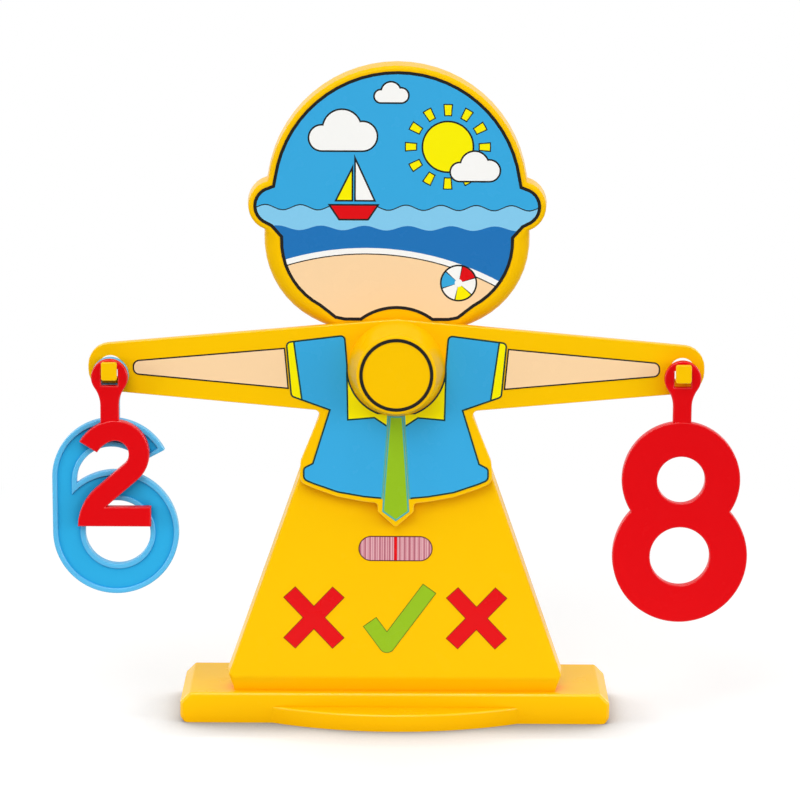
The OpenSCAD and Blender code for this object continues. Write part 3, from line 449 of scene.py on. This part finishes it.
def screw_heads():
    """The back cover's screws, with a cross in each head, painted dark steel as shade."""
    source = "cover_screws"
    bm = clean_mesh(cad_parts[source].data)
    heads = [r for r in flat_regions(bm, BACK) if on_level(r, BACK, level_of(source, BACK))]
    heads.sort(key=lambda r: tuple(r[0].calc_center_median()))
    for i, region in enumerate(heads):
        recessed(bm, region, BACK, i * CROSS_TURN)
    bmesh.ops.recalc_face_normals(bm, faces=bm.faces)
    moulded("cover_screw_heads", source, "stand", bm, [STEEL_METAL, STEEL_CROSS_SHADE_METAL])


YELLOW_LOOKS = [YELLOW_PLASTIC, YELLOW_EDGE]
RED_LOOKS = [RED_PLASTIC, RED_EDGE]
# Levels of flat faces, in millimetres the way they face
BASE_FACE = 36
LIP_TOP = 10.5
COVER_FACE = level_of("stand_back_cover", BACK)
BEAM_FACE = 41
BOSS_FACE = 61
HUB_TUBE_FACE = 55
HOOK_TAB_FACE = 55.35
TWO_FACE = 53.2
TWO_RING_FACE = 52.45
EIGHT_FACE = 49.725
EIGHT_RING_FACE = 48.975
# Radii of the rounded edges, in millimetres. The numbers' is less than the step down to their rings
BASE_ROUND = 1.8
LIP_ROUND = 1.2
COVER_ROUND = 0.6
BEAM_ROUND = 0.55
BOSS_ROUND = 0.5
SMALL_ROUND = 0.4
NUMBER_ROUND = 0.7

base_rounds = [(FRONT, BASE_FACE, BASE_ROUND), (BACK, BASE_FACE, BASE_ROUND), (UP, LIP_TOP, LIP_ROUND)]
cover_rounds = [(BACK, COVER_FACE, COVER_ROUND)]
beam_rounds = [
    (FRONT, BEAM_FACE, BEAM_ROUND),
    (FRONT, BOSS_FACE, BOSS_ROUND),
    (FRONT, HUB_TUBE_FACE, SMALL_ROUND),
    (FRONT, HOOK_TAB_FACE, SMALL_ROUND),
]
two_rounds = [(FRONT, TWO_FACE, NUMBER_ROUND), (FRONT, TWO_RING_FACE, NUMBER_ROUND)]
eight_rounds = [(FRONT, EIGHT_FACE, NUMBER_ROUND), (FRONT, EIGHT_RING_FACE, NUMBER_ROUND)]
moulding("base_moulding", "base_shell", "stand", YELLOW_LOOKS, base_rounds)
moulding("front_moulding", "stand_front_shell", "stand", YELLOW_LOOKS, [])
moulding("back_moulding", "stand_back_cover", "stand", YELLOW_LOOKS, cover_rounds)
moulding("beam_moulding", "beam_plate", "beam", YELLOW_LOOKS, beam_rounds, holes=False)
moulding("two_moulding", "number_two", "two", RED_LOOKS, two_rounds)
moulding("eight_moulding", "number_eight", "eight", RED_LOOKS, eight_rounds)
six_moulding()
screw_heads()

# Nodes that keep the frame's shape, with their looks
KEPT = {
    "hub_cap": YELLOW_PLASTIC,
    "hub_bush": NYLON_PLASTIC,
    "thrust_washer": NYLON_PLASTIC,
    "hub_ring_label": INK_LOOKS["black"],
    "base_screws": STEEL_METAL,
    "axle_pin": STEEL_METAL,
    "axle_screw": STEEL_METAL,
    "retaining_washer": STEEL_METAL,
}
for name, material in KEPT.items():
    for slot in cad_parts[name].material_slots:
        slot.material = material

# Flat drawing

# Corners of a drawing closer than this, in millimetres, are one corner
WELD = 0.001
# The beam's pivot, in the middle of the hub's ring
ring_low, ring_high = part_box("hub_ring_label")
PIVOT = (ring_low + ring_high) / 2


def area(loop):
    ends = loop[1:] + loop[:1]
    return sum(a[0] * b[1] - b[0] * a[1] for a, b in zip(loop, ends)) / 2


def chained(edges):
    """Closed loops of corners from directed edges."""
    after = dict(edges)
    loops = []
    while after:
        start = next(iter(after))
        loop = [start]
        while loop[-1] in after:
            loop.append(after.pop(loop[-1]))
        loops.append(loop[:-1])
    return loops


def outlines(name):
    """The outer loops of a flat node's front face, in millimetres from the pivot."""
    bm = bmesh.new()
    bm.from_mesh(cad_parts[name].data)
    bmesh.ops.remove_doubles(bm, verts=bm.verts, dist=SAME_CORNER)
    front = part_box(name)[0].y
    faces = [f for f in bm.faces if all(abs(v.co.y - front) < SAME_LEVEL for v in f.verts)]
    directed = set()
    for face in faces:
        for loop in face.loops:
            directed.add((loop.vert.index, loop.link_loop_next.vert.index))
    rim = [(a, b) for a, b in directed if (b, a) not in directed]
    bm.verts.ensure_lookup_table()
    loops = []
    for chain in chained(rim):
        corners = [bm.verts[i].co for i in chain]
        loops.append([((c.x - PIVOT.x) / MM, (c.z - PIVOT.z) / MM) for c in corners])
    bm.free()
    return [loop for loop in loops if area(loop) > 0]


def inset(loop, d):
    """The loop moved inwards by d, corner by corner."""
    moved = []
    for i, p in enumerate(loop):
        before = Vector(p) - Vector(loop[i - 1])
        after = Vector(loop[(i + 1) % len(loop)]) - Vector(p)
        m = Vector((-before.y, before.x)).normalized()
        k = Vector((-after.y, after.x)).normalized()
        moved.append(Vector(p) + d * (m + k) / (1 + m.dot(k)))
    return [(q.x, q.y) for q in moved]


def disc(x, z, r, n=72):
    return [(x + r * math.cos(i * math.tau / n), z + r * math.sin(i * math.tau / n)) for i in range(n)]


def box(x0, z0, x1, z1):
    return [(x0, z0), (x1, z0), (x1, z1), (x0, z1)]


def sector(c, r0, r1, a0, a1, n=16):
    """Part of a ring, between two angles in degrees."""
    angles = [math.radians(a0 + (a1 - a0) * i / n) for i in range(n + 1)]
    outer = [(c[0] + r1 * math.cos(a), c[1] + r1 * math.sin(a)) for a in angles]
    inner = [(c[0] + r0 * math.cos(a), c[1] + r0 * math.sin(a)) for a in reversed(angles)]
    return outer + inner


def mirror(shape):
    return [(-x, z) for x, z in reversed(shape)]


def inside(shape, places):
    """For each place, whether the shape winds round it anticlockwise."""
    turns = np.zeros(len(places), dtype=int)
    for (x0, z0), (x1, z1) in zip(shape, shape[1:] + shape[:1]):
        left = (x1 - x0) * (places[:, 1] - z0) - (places[:, 0] - x0) * (z1 - z0) > 0
        up = (z0 <= places[:, 1]) & (z1 > places[:, 1])
        down = (z1 <= places[:, 1]) & (z0 > places[:, 1])
        turns += (up & left).astype(int) - (down & ~left).astype(int)
    return turns > 0


def painted(loops, edge_ink, edge_w, field_ink, layers, over):
    """Triangles of a print by ink: an edge line, a field in it, layers on the field, layers over all."""
    fields = [inset(loop, edge_w) for loop in loops]
    shapes = loops + fields + [shape for _, drawn in [*layers, *over] for shape in drawn]
    corners = []
    faces = []
    for shape in shapes:
        faces.append(list(range(len(corners), len(corners) + len(shape))))
        corners += [Vector(p) for p in shape]
    points, _, triangles, _, _, _ = delaunay_2d_cdt(corners, [], faces, 0, WELD)
    flat = np.array([(p.x, p.y) for p in points])
    middles = flat[np.array(triangles)].mean(axis=1)
    on_film = np.any([inside(loop, middles) for loop in loops], axis=0)
    in_field = np.any([inside(field, middles) for field in fields], axis=0)
    inks = np.full(len(triangles), edge_ink, dtype=object)
    inks[in_field] = field_ink
    for layer_ink, drawn in layers:
        for shape in drawn:
            inks[in_field & inside(shape, middles)] = layer_ink
    for layer_ink, drawn in over:
        for shape in drawn:
            inks[inside(shape, middles)] = layer_ink
    return points, [(t, k) for t, k, shown in zip(triangles, inks, on_film) if shown]


def film(name, source, body, points, inked):
    """A closed film in the node's place, with one material for each ink."""
    low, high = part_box(source)
    used = sorted({i for triangle, _ in inked for i in triangle})
    place = {old: new for new, old in enumerate(used)}
    inked = [([place[i] for i in triangle], k) for triangle, k in inked]
    flat = [(points[i].x * MM + PIVOT.x, points[i].y * MM + PIVOT.z) for i in used]
    n = len(flat)
    verts = [(x, low.y, z) for x, z in flat] + [(x, high.y, z) for x, z in flat]
    names = sorted({k for _, k in inked})
    faces = []
    looks = []
    directed = {}
    for triangle, k in inked:
        look = names.index(k)
        faces.append(tuple(triangle))
        faces.append(tuple(i + n for i in reversed(triangle)))
        looks += [look, look]
        for i in range(3):
            directed[(triangle[i], triangle[(i + 1) % 3])] = look
    for (a, b), look in directed.items():
        if (b, a) not in directed:
            faces.append((a, a + n, b + n, b))
            looks.append(look)
    mesh = bpy.data.meshes.new(name)
    mesh.from_pydata(verts, [], faces)
    for k in names:
        mesh.materials.append(INK_LOOKS[k])
    mesh.polygons.foreach_set("material_index", looks)
    mesh.update()
    placed(name, mesh, source, body)


# Prints

# Widths of the drawn lines, in millimetres
LINE = 0.7
HEAD_LINE = 1.9
BODY_LINE = 1.0
POINTER_LINE = 1.0
ARM_LINE = 0.85
STRIP_LINE = 0.6
SIGN_LINE = 0.35
# Width of the teal band that the body shows beside the pointer
POINTER_BAND = 1.2


def printed(name, source, body, edge_ink, edge_w, field_ink, layers=(), over=()):
    """The print of a node: an edge line round a field, with what is drawn on them."""
    points, inked = painted(outlines(source), edge_ink, edge_w, field_ink, layers, over)
    film(name, source, body, points, inked)


def wave(x0, x1, z, height, length, floor, n=96):
    """A shape under a rippled line from x0 to x1, down to the floor."""
    xs = [x0 + (x1 - x0) * i / n for i in range(n + 1)]
    crest = [(x, z + height * math.sin(math.tau * x / length)) for x in reversed(xs)]
    return [(x0, floor), (x1, floor)] + crest


def cloud(x, z, size, grow):
    """Three puffs on a flat foot, larger by grow."""
    puffs = [(-11, 0, 7), (0, 5, 10.5), (11, 1, 8)]
    shapes = [disc(x + px * size, z + pz * size, r * size + grow, n=40) for px, pz, r in puffs]
    half = 11 * size
    drop = 7 * size + grow
    return shapes + [box(x - half, z - drop, x + half, z)]


def boat(x, z, size, grow):
    """A hull and two sails, larger by grow, each with its ink."""
    hull = [(-15, 5), (-9, -4), (9, -4), (15, 5)]
    main = [(1, 8), (13, 8), (1, 34)]
    jib = [(-11, 8), (-1, 8), (-1, 28)]
    drawn = []
    for ink_name, shape in (("red", hull), ("white", main), ("bright_yellow", jib)):
        corners = [(x + px * size, z + pz * size) for px, pz in shape]
        drawn.append((ink_name, [inset(corners, -grow)]))
    return drawn


def ball(x, z, r):
    """A beach ball: six panels round a small cap, with thin lines between them."""
    panels = ["red", "white", "sky", "white", "bright_yellow", "white"]
    turn = 20
    step = 360 / len(panels)
    seam = 4
    panel_r = 0.2 * r
    cap_r = 0.22 * r
    drawn = [("black", [disc(x, z, r + LINE)])]
    for i, ink_name in enumerate(panels):
        start = turn + step * i
        panel = sector((x, z), panel_r, r - LINE / 2, start, start + step - seam)
        drawn.append((ink_name, [panel]))
    return drawn + [("white", [disc(x, z, cap_r)])]


def head_print():
    """A seaside picture: sky with a sun and clouds, a sea with a boat, and sand at the foot."""
    sun = (30, 133)
    sun_r = 15
    ray_start = 19
    ray_end = 25
    ray_half = 5
    rays = [sector(sun, ray_start, ray_end, a - ray_half, a + ray_half, n=2) for a in range(0, 360, 30)]
    ray_lines = [inset(ray, -LINE) for ray in rays]
    clouds = [(-33, 138, 1.1), (46, 118, 0.8), (-4, 163, 0.55)]
    past_side = 100
    sea = wave(-past_side, past_side, z=96, height=1.6, length=21, floor=0)
    deep_sea = wave(-past_side, past_side, z=84, height=1.4, length=26, floor=0)
    sailing = (-26, 93, 0.95)
    shore = (-18, -96)
    sand_r = 164
    foam = 4
    layers = [
        ("black", ray_lines),
        ("bright_yellow", rays),
        ("black", [disc(*sun, sun_r + LINE)]),
        ("bright_yellow", [disc(*sun, sun_r - LINE / 2)]),
        ("black", [shape for c in clouds for shape in cloud(*c, LINE)]),
        ("white", [shape for c in clouds for shape in cloud(*c, -LINE / 2)]),
        ("black", [[(x, z + LINE) for x, z in sea]]),
        ("pale_sky", [sea]),
        ("deep_blue", [deep_sea]),
        ("black", [shape for _, drawn in boat(*sailing, LINE) for shape in drawn]),
    ]
    layers += boat(*sailing, -LINE / 2)
    layers += [
        ("white", [disc(*shore, sand_r + foam, n=160)]),
        ("black", [disc(*shore, sand_r + LINE, n=160)]),
        ("peach", [disc(*shore, sand_r, n=160)]),
    ]
    layers += ball(37, 51, r=10.5)
    printed("head_print", "head_label", "stand", "black", HEAD_LINE, "sky", layers)


def body_print():
    """A plain blue panel with yellow bands at its sleeves' ends and points beside the hub."""
    cuff = [(56.6, -24), (74, -24), (74, 24), (63.2, 24)]
    cuff_line = inset(cuff, -BODY_LINE)
    collar = [(3, -20), (3, -36.4), (13, -29.6), (28.6, -31), (29.2, -4)]
    collar_line = inset(collar, -BODY_LINE)
    layers = [
        ("dark_teal", [cuff_line, mirror(cuff_line), collar_line, mirror(collar_line)]),
        ("bright_yellow", [cuff, mirror(cuff), collar, mirror(collar)]),
    ]
    over = [("teal", [inset(loop, -POINTER_BAND) for loop in outlines("pointer_label")])]
    printed("body_print", "body_label", "beam", "dark_teal", BODY_LINE, "sky", layers, over)


def beam_prints():
    """The pointer and the plain bands on the arms."""
    printed("pointer_print", "pointer_label", "beam", "teal", POINTER_LINE, "green")
    for side in ("left", "right"):
        source = side + "_arm_label"
        printed(side + "_arm_print", source, "beam", "black", ARM_LINE, "peach")


def strip_print():
    """Fine upright stripes, unevenly spaced, with a red middle line."""
    low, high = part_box("balance_strip")
    past_edge = 1
    foot = (low.z - PIVOT.z) / MM - past_edge
    head = (high.z - PIVOT.z) / MM + past_edge
    half_mark = 0.9
    middle = box(-half_mark, foot, half_mark, head)
    count = 44
    drift = 0.2
    mean_w = 0.34
    vary_w = 0.14
    pale = []
    dark = []
    for i in range(count):
        x = (i + 0.5 - count / 2) + drift * math.sin(2.3 * i)
        w = mean_w + vary_w * math.sin(1.7 * i + 1)
        shades = dark if i % 3 == 0 else pale
        shades.append(box(x - w / 2, foot, x + w / 2, head))
    layers = [("pale_pink", pale), ("rose", dark), ("red", [middle])]
    printed("strip_print", "balance_strip", "stand", "brown", STRIP_LINE, "pink", layers)


def sign_prints():
    """The tick and the crosses under the strip."""
    printed("tick_print", "tick_label", "stand", "dark_green", SIGN_LINE, "green")
    printed("cross_prints", "cross_labels", "stand", "dark_red", SIGN_LINE, "red")


head_print()
body_print()
beam_prints()
strip_print()
sign_prints()

# Stage, in metres and watts

FLOOR_SIZE = 12
# The floor takes shade up to the first distance from the middle, and is plain white from the second
SHADED = 0.25
PLAIN = 0.7
# Which way the floor looks for its painted shadow: up and back, so that the shadow lies most in front of
# the toy
PAINTED_SHADOW_LEAN = {"Y": 0.6, "Z": 0.8}
# Where the lamps point
AIM = (0, -0.04, 0.2)
# Each lamp's name, place, width and power
LAMPS = [
    ("key", (-0.5, -1.9, 1.8), 1.6, 22),
    ("fill", (1.5, -1.7, 0.8), 1.4, 6),
    ("left", (-2.0, -0.9, 0.5), 1.0, 11),
    ("right", (2.0, -0.9, 0.5), 1.0, 11),
    ("top", (0.1, -0.5, 2.2), 0.4, 4),
    ("back_left", (-1.7, 1.9, 0.9), 0.8, 9),
    ("back_right", (1.7, 1.9, 0.9), 0.8, 9),
]


def seen(tree):
    """1 on rays from the eye, and on what they meet in gloss or through glass."""
    path = node(tree, "ShaderNodeLightPath")
    either = node(tree, "ShaderNodeMath", operation="MAXIMUM")
    tree.links.new(path.outputs["Is Camera Ray"], either.inputs[0])
    tree.links.new(path.outputs["Is Glossy Ray"], either.inputs[1])
    through = node(tree, "ShaderNodeMath", operation="MAXIMUM")
    tree.links.new(either.outputs[0], through.inputs[0])
    tree.links.new(path.outputs["Is Transmission Ray"], through.inputs[1])
    return through.outputs[0]


def stage_floor():
    """A pale floor that takes the toy's shadow, with more shadow painted round the toy, and fades to
    plain white away from it.
    """
    bpy.ops.mesh.primitive_plane_add(size=FLOOR_SIZE)
    floor = bpy.context.object
    floor.name = "floor"
    material, tree, shader = new_material("floor_looks")
    shader.inputs["Roughness"].default_value = 0.9
    shader.inputs["Specular IOR Level"].default_value = 0.0
    place = node(tree, "ShaderNodeTexCoord").outputs["Object"]
    away = node(tree, "ShaderNodeVectorMath", operation="LENGTH")
    tree.links.new(place, away.inputs[0])
    sky = node(tree, "ShaderNodeCombineXYZ", PAINTED_SHADOW_LEAN)
    # Painted shadow: the floor's colour and glow darken where the toy is near
    around = node(tree, "ShaderNodeAmbientOcclusion", {"Distance": FLOOR_REACH}, samples=REACH_SAMPLES)
    tree.links.new(sky.outputs["Vector"], around.inputs["Normal"])
    painted_shadow_share = around.outputs["AO"]
    paint = spread(tree, away.outputs["Value"], low=0.7, high=0.0, start=SHADED, end=PLAIN)
    tree.links.new(product(tree, paint, painted_shadow_share), shader.inputs["Base Color"])
    own_light = spread(tree, away.outputs["Value"], low=0.35, high=1.0, start=SHADED, end=PLAIN)
    glow = product(tree, own_light, painted_shadow_share)
    shader.inputs["Emission Color"].default_value = (1, 1, 1, 1)
    tree.links.new(product(tree, glow, seen(tree)), shader.inputs["Emission Strength"])
    floor.data.materials.append(material)


def stage_world():
    """White to the eye and in reflections, softer as a light."""
    world = bpy.data.worlds.new("studio")
    bpy.context.scene.world = world
    world.use_nodes = True
    tree = world.node_tree
    back = tree.nodes["Background"]
    back.inputs["Color"].default_value = (1, 1, 1, 1)
    strength = spread(tree, seen(tree), low=0.6, high=1.0, start=0.0, end=1.0)
    tree.links.new(strength, back.inputs["Strength"])


def lamp(name, place, size, power):
    """A round soft lamp that looks at the toy's middle."""
    data = bpy.data.lights.new(name, "AREA")
    data.shape = "DISK"
    data.size = size
    data.energy = power
    made = bpy.data.objects.new(name, data)
    made.location = place
    made.rotation_euler = (Vector(AIM) - Vector(place)).to_track_quat("-Z", "Y").to_euler()
    bpy.context.scene.collection.objects.link(made)


def stage_camera():
    """The photograph's view: from a little above, through a long lens."""
    aside, ahead, above = 2.25 * MM, 2200 * MM, 408 * MM
    pitch = math.radians(10.99)
    roll = math.radians(0.29)
    beam_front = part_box("body_label")[1].y
    data = bpy.data.cameras.new("photo_view")
    data.sensor_width = 36
    data.lens = 167.8
    data.clip_end = 50
    camera = bpy.data.objects.new("photo_view", data)
    stand = Matrix.Translation((PIVOT.x + aside, beam_front - ahead, PIVOT.z + above))
    turn = Matrix.Rotation(math.pi / 2 - pitch, 4, "X") @ Matrix.Rotation(roll, 4, "Z")
    camera.matrix_world = stand @ turn
    bpy.context.scene.collection.objects.link(camera)
    bpy.context.scene.camera = camera


stage_floor()
stage_world()
for row in LAMPS:
    lamp(*row)
stage_camera()
bpy.context.scene.view_settings.view_transform = "Standard"
